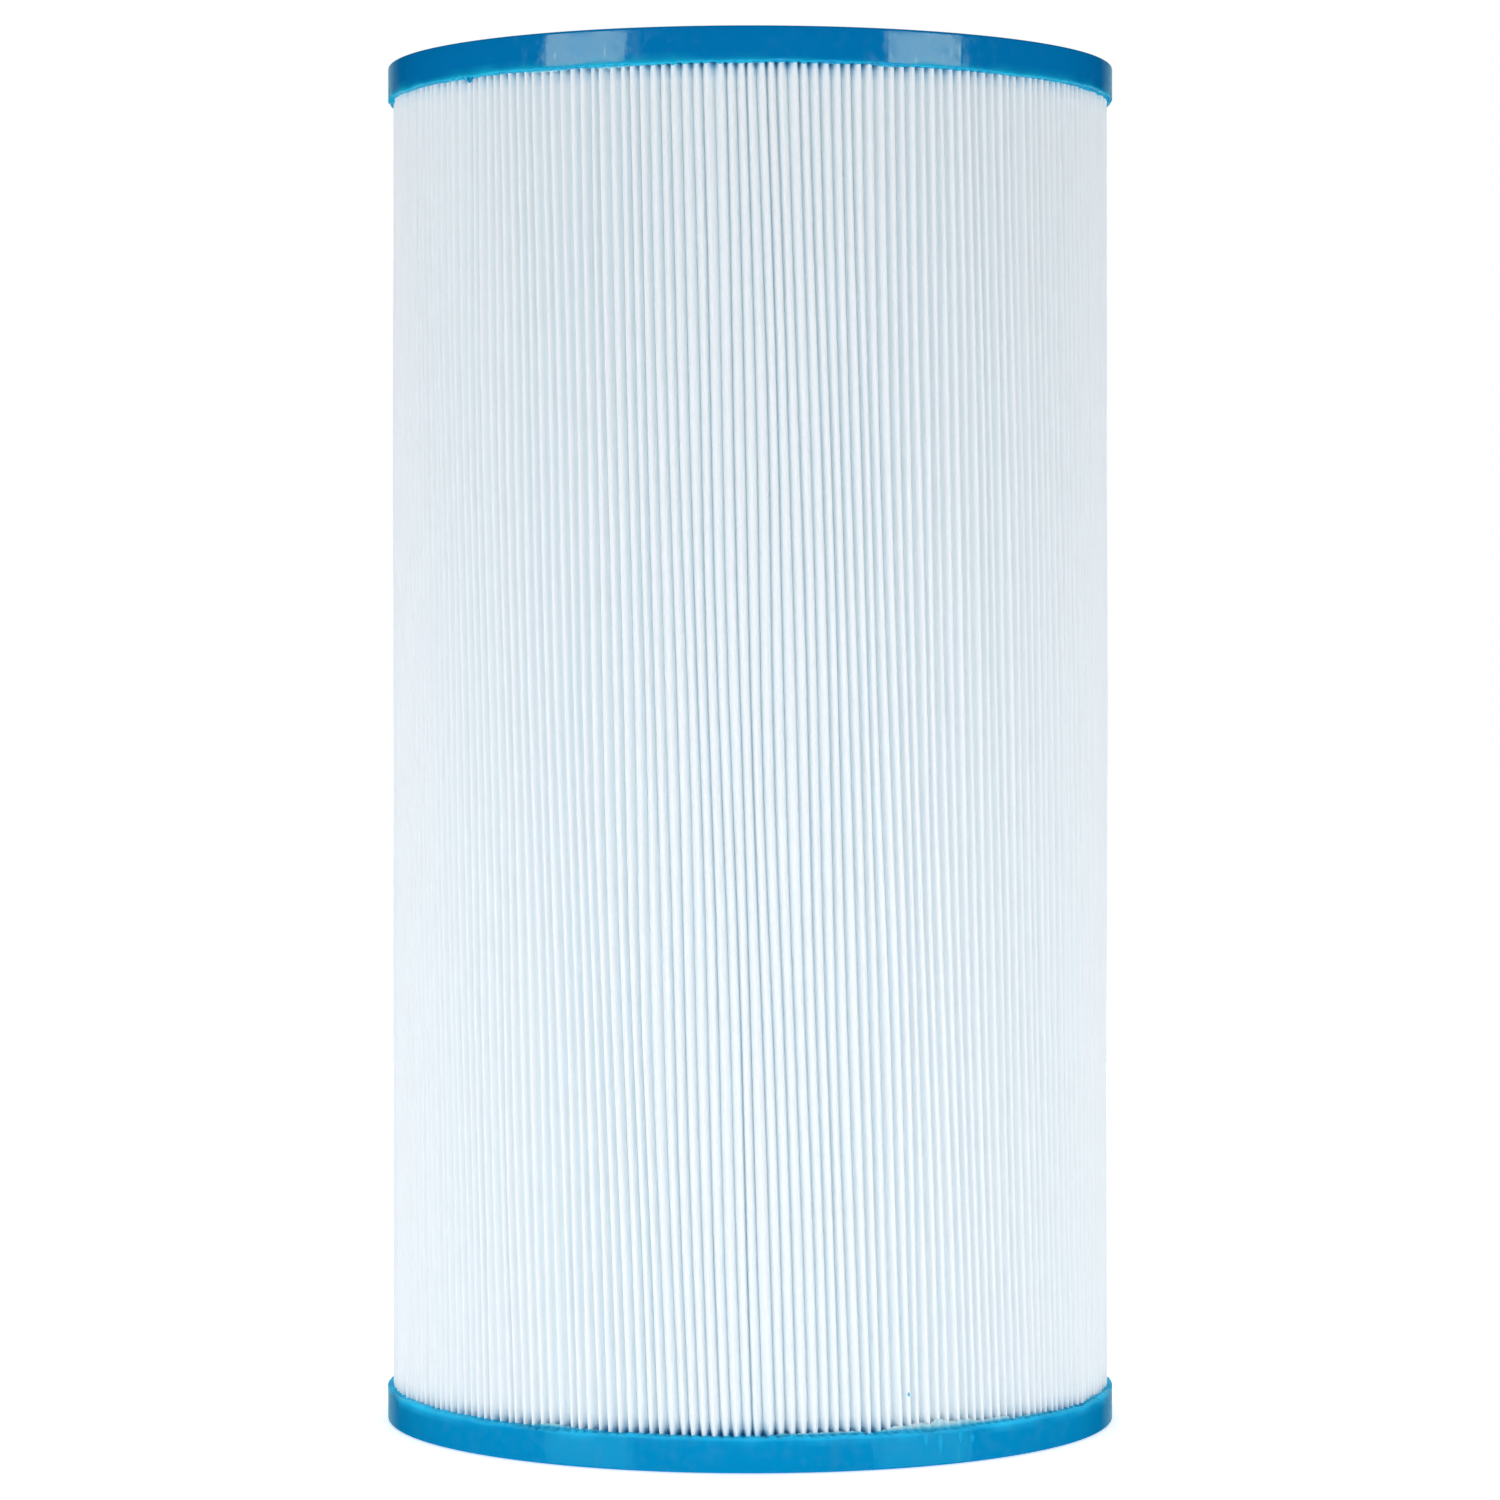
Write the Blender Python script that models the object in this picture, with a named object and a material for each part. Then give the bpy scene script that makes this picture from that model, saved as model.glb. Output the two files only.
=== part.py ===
"""Pleated pool and spa filter cartridge, built for Blender 4.5.

Run it with: blender --background --python part.py
Units are metres. +Z runs along the bore, and the origin is the centre of the bottom sealing face.

The cartridge is one long sheet of spunbonded polyester folded into deep pleats round a rigid
core. The core is a stack of moulded windowed sections that lap into each other. Both ends of the
sheet and of the core stand in the trough of a cast urethane end cap, which also seals the bore.
"""

from math import cos, pi, sin

import bmesh
import bpy
from mathutils import Matrix, Vector

# Driving dimensions of the whole cartridge
OUTER_DIAMETER = 0.2270
LENGTH = 0.4220
BORE_DIAMETER = 0.1016
FIT_GAP = 0.0003

# End caps
CAP_HEIGHT = 0.0105
CAP_FLOOR = 0.0040
SKIRT_WALL = 0.0010
COLLAR_WALL = 0.0015
CAP_CHAMFER = 0.0008
RIM_LAND = 0.0055
SEAL_LAND = 0.0122
RECESS_DEPTH = 0.0012
RECESS_RAMP = 0.0010
STANDOFFS = 12
STANDOFF_RADIUS = 0.0026
STANDOFF_DEPTH = 0.0012
STANDOFF_CIRCLE = 0.0950
STANDOFF_SIDES = 8
CAP_SEGMENTS = 60

# Pleated sheet
PLEATS = 216
CREST_WIDTH = 0.0017
GROOVE_DEPTH = 0.0040
SKIRT_CLEARANCE = 0.0005

# Core
CORE_SECTIONS = 5
CORE_WALL = 0.0030
CORE_CLEARANCE = 0.0005
CORE_LAP = 0.0050
CORE_SEGMENTS = 24
WINDOW_COLUMNS = 12
WINDOW_ROWS = 2
WINDOW_WIDTH = 0.0200
END_RING = 0.0105
MIDDLE_RING = 0.0055

# Hot-melt strip that closes the sheet into a ring
SEAM_THICKNESS = 0.0009
SEAM_WIDTH = 0.0070
SEAM_INSET = 0.0010

# Sizes that follow from those above
OUTER_RADIUS = OUTER_DIAMETER / 2
BORE_RADIUS = BORE_DIAMETER / 2
SKIRT_INNER = OUTER_RADIUS - SKIRT_WALL
COLLAR_OUTER = BORE_RADIUS + COLLAR_WALL
CORE_INNER = COLLAR_OUTER + CORE_CLEARANCE
CORE_OUTER = CORE_INNER + CORE_WALL
PLEAT_OUTER = SKIRT_INNER - SKIRT_CLEARANCE
PLEAT_INNER = CORE_OUTER + CORE_CLEARANCE
PLEAT_ANGLE = 2 * pi / PLEATS
INSIDE_BOTTOM = CAP_FLOOR + FIT_GAP
INSIDE_TOP = LENGTH - INSIDE_BOTTOM
SECTION_PITCH = (INSIDE_TOP - INSIDE_BOTTOM) / CORE_SECTIONS
SEAM_PLEAT = PLEATS // 4
SEAM_RADIUS = PLEAT_OUTER - SEAM_INSET - SEAM_WIDTH / 2
SEAM_FOOT = SEAM_RADIUS - SEAM_WIDTH / 2 - FIT_GAP


def clear_scene():
    for obj in list(bpy.data.objects):
        bpy.data.objects.remove(obj)


def material(name, colour, roughness, metallic=0.0):
    made = bpy.data.materials.new(name)
    made.use_nodes = True
    shader = made.node_tree.nodes["Principled BSDF"]
    shader.inputs["Base Color"].default_value = (*colour, 1.0)
    shader.inputs["Roughness"].default_value = roughness
    shader.inputs["Metallic"].default_value = metallic
    return made


def add_object(name, bm, finish=None):
    """Turns a bmesh into an object with its normals facing out."""
    bmesh.ops.recalc_face_normals(bm, faces=bm.faces)
    mesh = bpy.data.meshes.new(name)
    bm.to_mesh(mesh)
    bm.free()
    obj = bpy.data.objects.new(name, mesh)
    bpy.context.scene.collection.objects.link(obj)
    if finish:
        mesh.materials.append(finish)
    return obj


def turned(name, profile, segments, finish):
    """Spins a closed outline of (radius, height) points about Z."""
    bm = bmesh.new()
    corners = [bm.verts.new((radius, 0, height)) for radius, height in profile]
    edges = [bm.edges.new((a, b)) for a, b in zip(corners, corners[1:] + corners[:1])]
    bmesh.ops.spin(
        bm,
        geom=corners + edges,
        axis=(0, 0, 1),
        cent=(0, 0, 0),
        angle=2 * pi,
        steps=segments,
        use_merge=True,
    )
    obj = add_object(name, bm, finish)
    obj.data.shade_smooth()
    obj.data.set_sharp_from_angle(angle=pi / 6)
    return obj


def cutter(name, bm):
    """A helper that shapes another object and isn't part of the cartridge."""
    obj = add_object(name, bm)
    obj.hide_render = True
    obj.display_type = "WIRE"
    return obj


def cut(obj, tool):
    boolean = obj.modifiers.new("Cut", "BOOLEAN")
    boolean.operation = "DIFFERENCE"
    boolean.solver = "EXACT"
    boolean.object = tool


def cap_profile():
    """Section of the bottom cap: a floor with a rim land, a recess and a sealing land, and two walls."""
    land_outer = OUTER_RADIUS - CAP_CHAMFER
    recess_outer = land_outer - RIM_LAND
    seal_outer = BORE_RADIUS + SEAL_LAND
    return [
        (BORE_RADIUS + CAP_CHAMFER, 0),
        (seal_outer, 0),
        (seal_outer + RECESS_RAMP, RECESS_DEPTH),
        (recess_outer - RECESS_RAMP, RECESS_DEPTH),
        (recess_outer, 0),
        (land_outer, 0),
        (OUTER_RADIUS, CAP_CHAMFER),
        (OUTER_RADIUS, CAP_HEIGHT),
        (SKIRT_INNER, CAP_HEIGHT),
        (SKIRT_INNER, CAP_FLOOR),
        (COLLAR_OUTER, CAP_FLOOR),
        (COLLAR_OUTER, CAP_HEIGHT),
        (BORE_RADIUS, CAP_HEIGHT),
        (BORE_RADIUS, CAP_CHAMFER),
    ]


def standoff_cutter():
    """Pegs in the casting mould hold the pleats clear of its floor and leave these round dimples."""
    bm = bmesh.new()
    for index in range(STANDOFFS):
        angle = 2 * pi * (index + 0.5) / STANDOFFS
        centre = (STANDOFF_CIRCLE * cos(angle), STANDOFF_CIRCLE * sin(angle), RECESS_DEPTH)
        bmesh.ops.create_cone(
            bm,
            cap_ends=True,
            segments=STANDOFF_SIDES,
            radius1=STANDOFF_RADIUS,
            radius2=STANDOFF_RADIUS,
            depth=2 * STANDOFF_DEPTH,
            matrix=Matrix.Translation(centre),
        )
    return cutter("standoff_cutter", bm)


def end_caps(finish):
    """The bottom cap as turned, and the same casting turned over on top."""
    tool = standoff_cutter()
    bottom = turned("bottom_end_cap", cap_profile(), CAP_SEGMENTS, finish)
    top = bottom.copy()
    top.name = "top_end_cap"
    bpy.context.scene.collection.objects.link(top)
    top_tool = tool.copy()
    bpy.context.scene.collection.objects.link(top_tool)
    for obj in (top, top_tool):
        obj.rotation_euler.x = pi
        obj.location.z = LENGTH
    cut(bottom, tool)
    cut(top, top_tool)


def polar(radius, angle, height):
    return Vector((radius * cos(angle), radius * sin(angle), height))


def pleat_corners(index):
    """One pleat of the ring's bottom face, from its crest to the crest of the next pleat."""
    crest = index * PLEAT_ANGLE
    valley = crest + PLEAT_ANGLE / 2
    crest_half = CREST_WIDTH / 2 / PLEAT_OUTER
    corners = [
        polar(PLEAT_INNER, crest, INSIDE_BOTTOM),
        polar(PLEAT_OUTER, crest - crest_half, INSIDE_BOTTOM),
        polar(PLEAT_OUTER, crest + crest_half, INSIDE_BOTTOM),
    ]
    if index == SEAM_PLEAT:
        slot_half = (SEAM_THICKNESS / 2 + FIT_GAP) / SEAM_FOOT
        corners.append(polar(SEAM_FOOT, valley - slot_half, INSIDE_BOTTOM))
        corners.append(polar(SEAM_FOOT, valley + slot_half, INSIDE_BOTTOM))
    else:
        corners.append(polar(PLEAT_OUTER - GROOVE_DEPTH, valley, INSIDE_BOTTOM))
    return corners

def pleated_media(finish):
    """The folded sheet as the ring that it fills, with every crest and the mouth of every groove."""
    bm = bmesh.new()
    pleats = [[bm.verts.new(point) for point in pleat_corners(index)] for index in range(PLEATS)]
    for pleat, after in zip(pleats, pleats[1:] + pleats[:1]):
        bm.faces.new(pleat + [after[1], after[0]])
    grown = bmesh.ops.extrude_face_region(bm, geom=bm.faces[:], use_keep_orig=True)
    raised = [item for item in grown["geom"] if isinstance(item, bmesh.types.BMVert)]
    bmesh.ops.translate(bm, verts=raised, vec=(0, 0, INSIDE_TOP - INSIDE_BOTTOM))
    add_object("pleated_media", bm, finish)

def seam_strip(finish):
    """A slim bar of hot-melt between the first and the last fold, at the back of the cartridge."""
    angle = (SEAM_PLEAT + 0.5) * PLEAT_ANGLE
    bm = bmesh.new()
    bmesh.ops.create_cube(bm, size=1.0)
    bmesh.ops.scale(bm, vec=(SEAM_WIDTH, SEAM_THICKNESS, INSIDE_TOP - INSIDE_BOTTOM), verts=bm.verts)
    strip = add_object("side_seam_strip", bm, finish)
    strip.location = polar(SEAM_RADIUS, angle, LENGTH / 2)
    strip.rotation_euler.z = angle


def section_profile(is_first, is_last):
    """Section of a core ring: an outer lip below, which laps over the inner lip of the ring under it."""
    lap_outer = CORE_INNER + (CORE_WALL - FIT_GAP) / 2
    lap_inner = lap_outer + FIT_GAP
    top = SECTION_PITCH if is_last else SECTION_PITCH - FIT_GAP
    profile = [(CORE_OUTER, 0), (CORE_OUTER, top)]
    if is_last:
        profile += [(CORE_INNER, top)]
    else:
        profile += [(lap_outer, top), (lap_outer, top + CORE_LAP), (CORE_INNER, top + CORE_LAP)]
    if is_first:
        profile += [(CORE_INNER, 0)]
    else:
        profile += [(CORE_INNER, CORE_LAP + FIT_GAP), (lap_inner, CORE_LAP + FIT_GAP), (lap_inner, 0)]
    return profile


def window_cutter():
    """Radial blocks that open the windows of one core section."""
    height = (SECTION_PITCH - 2 * END_RING - (WINDOW_ROWS - 1) * MIDDLE_RING) / WINDOW_ROWS
    depth = 4 * CORE_WALL
    radius = (CORE_INNER + CORE_OUTER) / 2
    bm = bmesh.new()
    for row in range(WINDOW_ROWS):
        middle = END_RING + height / 2 + row * (height + MIDDLE_RING)
        for column in range(WINDOW_COLUMNS):
            angle = 2 * pi * column / WINDOW_COLUMNS
            place = Matrix.Translation(polar(radius, angle, middle)) @ Matrix.Rotation(angle, 4, "Z")
            size = Matrix.Diagonal((depth, WINDOW_WIDTH, height, 1.0))
            bmesh.ops.create_cube(bm, size=1.0, matrix=place @ size)
    return cutter("window_cutter", bm)


def core(finish):
    """The stack of windowed sections, from the bottom up."""
    tool = window_cutter()
    for index in range(CORE_SECTIONS):
        profile = section_profile(index == 0, index == CORE_SECTIONS - 1)
        section = turned(f"core_section_{index + 1}", profile, CORE_SEGMENTS, finish)
        section_tool = tool.copy()
        bpy.context.scene.collection.objects.link(section_tool)
        for obj in (section, section_tool):
            obj.location.z = INSIDE_BOTTOM + index * SECTION_PITCH
        cut(section, section_tool)


def main():
    clear_scene()
    end_caps(material("blue_urethane", (0.0, 0.27, 0.60), 0.25))
    pleated_media(material("white_polyester", (0.86, 0.89, 0.92), 0.85))
    seam_strip(material("hot_melt", (0.88, 0.87, 0.82), 0.45))
    core(material("white_core_plastic", (0.85, 0.86, 0.87), 0.40))


main()
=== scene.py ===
"""Looks of a pleated pool and spa filter cartridge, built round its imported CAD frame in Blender 4.5.

Units are metres, +Z runs up the bore, and the camera stands on the -Y side. Every size that the CAD
settles is read from the frame; the sizes below are those of the looks alone.
"""

from math import cos, pi, radians, sin, tan

import bmesh
import bpy
import numpy as np
from mathutils import Matrix, Vector

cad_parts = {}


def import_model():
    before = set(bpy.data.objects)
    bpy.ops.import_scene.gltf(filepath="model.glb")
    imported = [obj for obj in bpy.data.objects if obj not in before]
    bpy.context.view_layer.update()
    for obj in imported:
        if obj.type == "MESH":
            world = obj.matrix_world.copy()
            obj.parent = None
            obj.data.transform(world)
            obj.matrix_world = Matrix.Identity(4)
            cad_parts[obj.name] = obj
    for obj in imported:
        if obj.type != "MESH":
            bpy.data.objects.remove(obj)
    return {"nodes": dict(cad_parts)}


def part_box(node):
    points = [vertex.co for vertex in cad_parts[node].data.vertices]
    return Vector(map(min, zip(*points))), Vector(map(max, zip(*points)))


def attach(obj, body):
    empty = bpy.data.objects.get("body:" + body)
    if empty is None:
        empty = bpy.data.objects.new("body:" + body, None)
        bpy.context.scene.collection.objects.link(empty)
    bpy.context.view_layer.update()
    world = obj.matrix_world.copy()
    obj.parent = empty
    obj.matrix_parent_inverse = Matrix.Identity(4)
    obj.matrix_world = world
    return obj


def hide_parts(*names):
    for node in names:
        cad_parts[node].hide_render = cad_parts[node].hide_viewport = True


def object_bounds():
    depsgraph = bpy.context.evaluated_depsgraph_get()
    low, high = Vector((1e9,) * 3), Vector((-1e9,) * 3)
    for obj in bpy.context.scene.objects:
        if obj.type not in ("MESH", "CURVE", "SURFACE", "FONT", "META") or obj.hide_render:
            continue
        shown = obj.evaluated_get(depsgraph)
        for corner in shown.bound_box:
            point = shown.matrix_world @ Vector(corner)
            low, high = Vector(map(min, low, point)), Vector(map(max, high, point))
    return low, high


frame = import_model()
CAD_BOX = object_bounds()

TURN = 2 * pi
SEED = 41

# Pleated sheet. FLANK pairs a depth below the crest with how far the flank has swelled there, from
# the crest's half width (0) to the neighbour (1). END_STEPS are levels counted in from either end.
PLEATS = 216
SHEET = 0.0006
CREST_HALF = 0.00056
CREST_ROUND = 0.00036
CREST_INSET = 0.0002
CREST_SCATTER = 0.00009
PLEAT_GAP = 0.00004
FLANK = ((0.0007, 0.22), (0.0014, 0.42), (0.0021, 0.66), (0.0024, 1.0))
ROOT_NOSE = 0.00050
END_STEPS = (0.0, 0.0062, 0.0082, 0.0110, 0.0155, 0.0235)
EVEN_LEVELS = 10
TWIST = radians(6.6)
TWIST_QUICKENS = 0.23
DRIFTS = 24
DRIFT = 0.00011
WAVER = 0.00018
SEAM_PLEAT = PLEATS // 4
SEAM_LEVELS = 160
SHEET_PASSES = 0.08

# How the resin at either end pinches the pleats and stains them
PINCH = 0.20
TOP_PINCH = 0.08
PINCH_REACH = 0.0024
STAIN_HEIGHT = 0.0030

# Caps
CAP_SEGMENTS = 5 * PLEATS
CORNER_STEPS = 4
SKIRT_WALL = 0.0010
SEAL_LAND = 0.0122
RIM_LAND = 0.0055
RECESS_DEPTH = 0.0012
RECESS_RAMP = 0.0010
STANDOFFS = 12
STANDOFF_RADIUS = 0.0026
STANDOFF_DEPTH = 0.0012
STANDOFF_SLOPE = 0.0006
STANDOFF_CIRCLE = 0.0950
COLLAR_WALL = 0.0015
MOAT_DEPTH = 0.0002
MENISCUS = 0.0007
MENISCUS_REACH = 0.0005
RESIN_BELT = 0.012

# Colour of each casting, its colour where it is thin, how strong the painted glow of its thin lip is, and
# how strong the waves of its skin are. Both castings are one resin: the top one's colours are painted
# darker for the shade it stands in, the bottom one's painted lighter for the light from below. The glow
# is painted light that stands in for the light that soaked into the thin lip.
TOP_RESIN_SHADED = ((0.0, 0.180, 0.455), (0.01, 0.39, 0.59), 0.0, 0.5)
BOTTOM_RESIN_LIT = ((0.0, 0.258, 0.54), (0.02, 0.42, 0.68), 0.35, 1.3)
BLACK = (0.0, 0.0, 0.0)

# Places where resin spilled over the rim: middle and reach in degrees from the front, and height
SPILLS_BOTTOM = (
    (10.0, 8.5, 0.0013),
    (25.0, 6.5, 0.0021),
    (36.5, 8.0, 0.0019),
    (50.0, 5.0, 0.0007),
    (-170.0, 9.0, 0.0014),
)
SPILLS_TOP = ((-28.0, 11.0, 0.0005), (66.0, 6.0, 0.0005), (140.0, 12.0, 0.0010))
FILM_SEGMENTS = 10 * PLEATS
FILM_ROOT = 0.0022
FILM_PALE_HEIGHT = 0.0014

# Drops of resin: degrees from the front, height, half width, half height and how far they stand out.
# The drip's height is from the top skirt's rim.
DRIP = (-48.3, -0.0006, 0.0012, 0.0013, 0.0005)
SPECK = (24.6, 0.0213, 0.00030, 0.0006, 0.0005)
RUNS = (
    (27.1, 0.0080, 0.0008, 0.0021, 0.0001),
    (29.6, 0.0062, 0.0008, 0.0029, 0.0001),
    (33.2, 0.0077, 0.0008, 0.0018, 0.0001),
    (35.4, 0.0070, 0.0008, 0.0012, 0.0001),
)
DRIP_RADIUS = 0.1124
BEAD_THIN = 0.25

# Core
SECTIONS = 5
SECTION_GAP = 0.0003
EDGE_ROUND = 0.0004
LOOP = 32
WINDOW_COLUMNS = 12
WINDOW_ROWS = 2
WINDOW_WIDTH = 0.0200
WINDOW_CORNER = 0.0025
END_RING = 0.0105
MIDDLE_RING = 0.0055

# Camera, worked out from the perspective of the two caps' edges
CAMERA_DISTANCE = 1.545
CAMERA_HEIGHT = 0.2383
CAMERA_LENS = 117.95
CAMERA_SENSOR = 36.0
CAMERA_SHIFT = (-0.0001, -0.0629)

# Light from all round: how the way it fades along is turned, and its strength at the two ends
KEY_AZIMUTH = radians(10)
KEY_TILT = radians(-22)
AMBIENT = (0.315, 0.195)
FLOOR_GLOW = 0.55
FLOOR_RADIUS = 9.0
FLOOR_DROP = 0.0002
SUN_POWER = 1.1
DIFFUSE_BOUNCES = 12

# Lamps: degrees from the front, distance, height, width, height of the lamp itself, and power
SOFTBOX_COLOUR = (0.935, 0.965, 1.0)
LAMP_AIM = 0.21
LAMPS = {
    "strip_left": (-40.0, 0.5, 0.02, 0.4, 0.2, 0.66),
    "strip_right": (40.0, 0.5, 0.02, 0.4, 0.2, 0.66),
    "softbox_left_light": (-42.0, 1.2, 0.24, 0.5, 0.4, 1.75),
    "softbox_right_light": (52.0, 1.2, 0.24, 0.5, 0.4, 1.3),
    "softbox_back_light": (180.0, 1.3, 0.35, 0.9, 0.7, 3.2),
}

# Panels that show in the gloss: the same, with a colour and its strength in place of the power
GLARE = (0.74, 1.0, 0.74)
LOW_GLARE = (0.13, 0.96, 0.74)
PANELS = {
    "softbox_left": (-50.5, 1.2, 0.53, 0.564, 0.36, GLARE, 8.6),
    "softbox_right": (53.5, 1.2, 0.53, 0.517, 0.36, GLARE, 8.6),
    "softbox_left_edge": (-33.5, 1.2, 0.53, 0.022, 0.36, GLARE, 2.2),
    "softbox_left_low": (-50.0, 1.2, -0.20, 0.60, 0.5, LOW_GLARE, 2.4),
    "softbox_right_low": (54.0, 1.2, -0.20, 0.66, 0.5, LOW_GLARE, 2.4),
}


def widest(node):
    """Largest distance of a CAD node from the bore axis."""
    return max(vertex.co.xy.length for vertex in frame["nodes"][node].data.vertices)


def narrowest(node):
    """Smallest distance of a CAD node from the bore axis."""
    return min(vertex.co.xy.length for vertex in frame["nodes"][node].data.vertices)


CAP_RADIUS = widest("bottom_end_cap")
BORE_RADIUS = narrowest("bottom_end_cap")
CAP_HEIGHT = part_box("bottom_end_cap")[1].z
LENGTH = CAD_BOX[1].z
SHEET_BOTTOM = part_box("pleated_media")[0].z
SHEET_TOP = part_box("pleated_media")[1].z
CREST_RADIUS = widest("pleated_media")
ROOT_RADIUS = narrowest("pleated_media")
SECTION_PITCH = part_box("core_section_2")[0].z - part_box("core_section_1")[0].z


# ---------------------------------------------------------------- helpers


def add_piece(name, mesh, material, smooth_angle=40):
    """Links a mesh as a piece of the cartridge, shades it and lets it ride on the only body."""
    piece = bpy.data.objects.new(name, mesh)
    bpy.context.scene.collection.objects.link(piece)
    mesh.materials.append(material)
    mesh.shade_smooth()
    mesh.set_sharp_from_angle(angle=radians(smooth_angle))
    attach(piece, "root")
    return piece


def put_in_scene(name, data):
    """A new object for the stage, which is no piece of the cartridge."""
    obj = bpy.data.objects.new(name, data)
    bpy.context.scene.collection.objects.link(obj)
    return obj


def finished(bm, name):
    """The mesh that a bmesh has become."""
    mesh = bpy.data.meshes.new(name)
    bm.to_mesh(mesh)
    bm.free()
    return mesh


def mesh_from(name, vertices, faces):
    """A mesh whose faces all point out."""
    mesh = bpy.data.meshes.new(name)
    mesh.from_pydata(vertices, [], faces)
    bm = bmesh.new()
    bm.from_mesh(mesh)
    bmesh.ops.recalc_face_normals(bm, faces=bm.faces)
    bm.to_mesh(mesh)
    bm.free()
    return mesh


def revolved(name, radius, angles, height):
    """A closed section, one row a corner, turned round the axis with one column an angle."""
    grid = on_circle(radius, angles[None, :], height)
    rows, columns = grid.shape[:2]
    index = np.arange(rows * columns).reshape(rows, columns)
    below = np.roll(index, -1, axis=0)
    faces = np.stack([index, np.roll(index, -1, axis=1), np.roll(below, -1, axis=1), below], axis=-1)
    return mesh_from(name, grid.reshape(-1, 3).tolist(), faces.reshape(-1, 4).tolist())


def note(mesh, name, values):
    """Stores one number a vertex, for a material to read."""
    layer = mesh.attributes.new(name, "FLOAT", "POINT")
    layer.data.foreach_set("value", np.asarray(values, dtype=np.float32).ravel())


def on_circle(radius, angle, height):
    """Points at the given radius, angle and height, as an array whose last axis is x, y, z."""
    radius, angle, height = np.broadcast_arrays(radius, angle, height)
    return np.stack([radius * np.cos(angle), radius * np.sin(angle), height], axis=-1)


def ripple(rng, angles, lowest, highest, fall=1.0):
    """A smooth random wave round the circle, with a spread of 1."""
    wave = np.zeros_like(angles)
    power = 0.0
    for order in range(lowest, highest + 1):
        size = order**-fall
        wave += size * np.cos(order * angles + rng.uniform(0, TURN))
        power += size * size / 2
    return wave / power**0.5


def to_nearest(angles, crests):
    """How far each angle is from every crest, as an unsigned angle."""
    return np.abs((angles[:, None] - crests[None, :] + pi) % TURN - pi)


def rounded(corners):
    """A closed outline of (radius, height) points whose corners are rounded by their third value."""
    points = []
    for before, corner, after in zip(corners[-1:] + corners[:-1], corners, corners[1:] + corners[:1]):
        here = Vector(corner[:2])
        if not corner[2]:
            points.append(here)
            continue
        back = (Vector(before[:2]) - here).normalized()
        on = (Vector(after[:2]) - here).normalized()
        reach = corner[2] / tan(back.angle(on) / 2)
        start = here + back * reach
        end = here + on * reach
        for step in range(CORNER_STEPS + 1):
            t = step / CORNER_STEPS
            points.append(start * (1 - t) ** 2 + here * (2 * t * (1 - t)) + end * t**2)
    return points


# ---------------------------------------------------------------- materials


class Finish:
    """A material with a Principled shader and short ways to add nodes to it."""

    def __init__(self, name, roughness, specular=0.5):
        self.material = bpy.data.materials.new(name)
        self.material.use_nodes = True
        self.nodes = self.material.node_tree.nodes
        self.links = self.material.node_tree.links
        self.shader = self.nodes["Principled BSDF"]
        self.shader.inputs["Roughness"].default_value = roughness
        self.shader.inputs["Specular IOR Level"].default_value = specular
        self.place = self.nodes.new("ShaderNodeTexCoord").outputs["Object"]
        self.normal = None

    def stretched(self, scale):
        """Object coordinates scaled by a vector, for a grain that runs one way."""
        mapping = self.nodes.new("ShaderNodeMapping")
        mapping.inputs["Scale"].default_value = scale
        self.links.new(self.place, mapping.inputs["Vector"])
        return mapping.outputs["Vector"]

    def noise(self, scale, detail=3.0, roughness=0.55, place=None):
        node = self.nodes.new("ShaderNodeTexNoise")
        node.inputs["Scale"].default_value = scale
        node.inputs["Detail"].default_value = detail
        node.inputs["Roughness"].default_value = roughness
        self.links.new(place or self.place, node.inputs["Vector"])
        return node.outputs["Fac"]

    def cells(self, scale):
        node = self.nodes.new("ShaderNodeTexVoronoi")
        node.inputs["Scale"].default_value = scale
        self.links.new(self.place, node.inputs["Vector"])
        return node.outputs["Distance"]

    def attribute(self, name):
        node = self.nodes.new("ShaderNodeAttribute")
        node.attribute_name = name
        return node.outputs["Fac"]

    def spread(self, value, low, high, new_low=0.0, new_high=1.0):
        """Value mapped from low..high to new_low..new_high, and held at the ends."""
        node = self.nodes.new("ShaderNodeMapRange")
        node.inputs["From Min"].default_value = low
        node.inputs["From Max"].default_value = high
        node.inputs["To Min"].default_value = new_low
        node.inputs["To Max"].default_value = new_high
        self.links.new(value, node.inputs["Value"])
        return node.outputs["Result"]

    def blend(self, factor, first, second):
        """A colour between two others, each a tuple or another node's output."""
        node = self.nodes.new("ShaderNodeMix")
        node.data_type = "RGBA"
        self.links.new(factor, node.inputs[0])
        for socket, colour in ((node.inputs[6], first), (node.inputs[7], second)):
            if isinstance(colour, tuple):
                socket.default_value = (*colour, 1.0)
            else:
                self.links.new(colour, socket)
        return node.outputs[2]

    def set(self, name, value):
        self.links.new(value, self.shader.inputs[name])

    def bump(self, height, depth, strength):
        """Adds a layer of relief on top of those already there."""
        node = self.nodes.new("ShaderNodeBump")
        node.inputs["Strength"].default_value = strength
        node.inputs["Distance"].default_value = depth
        self.links.new(height, node.inputs["Height"])
        if self.normal:
            self.links.new(self.normal, node.inputs["Normal"])
        self.normal = node.outputs["Normal"]
        self.set("Normal", self.normal)

    def let_through(self, share, colour):
        """Passes a share of the light on to the other side, scattered."""
        thin = self.nodes.new("ShaderNodeBsdfTranslucent")
        thin.inputs["Color"].default_value = (*colour, 1.0)
        mix = self.nodes.new("ShaderNodeMixShader")
        mix.inputs[0].default_value = share
        self.links.new(self.shader.outputs[0], mix.inputs[1])
        self.links.new(thin.outputs[0], mix.inputs[2])
        self.links.new(mix.outputs[0], self.nodes["Material Output"].inputs["Surface"])


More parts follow.
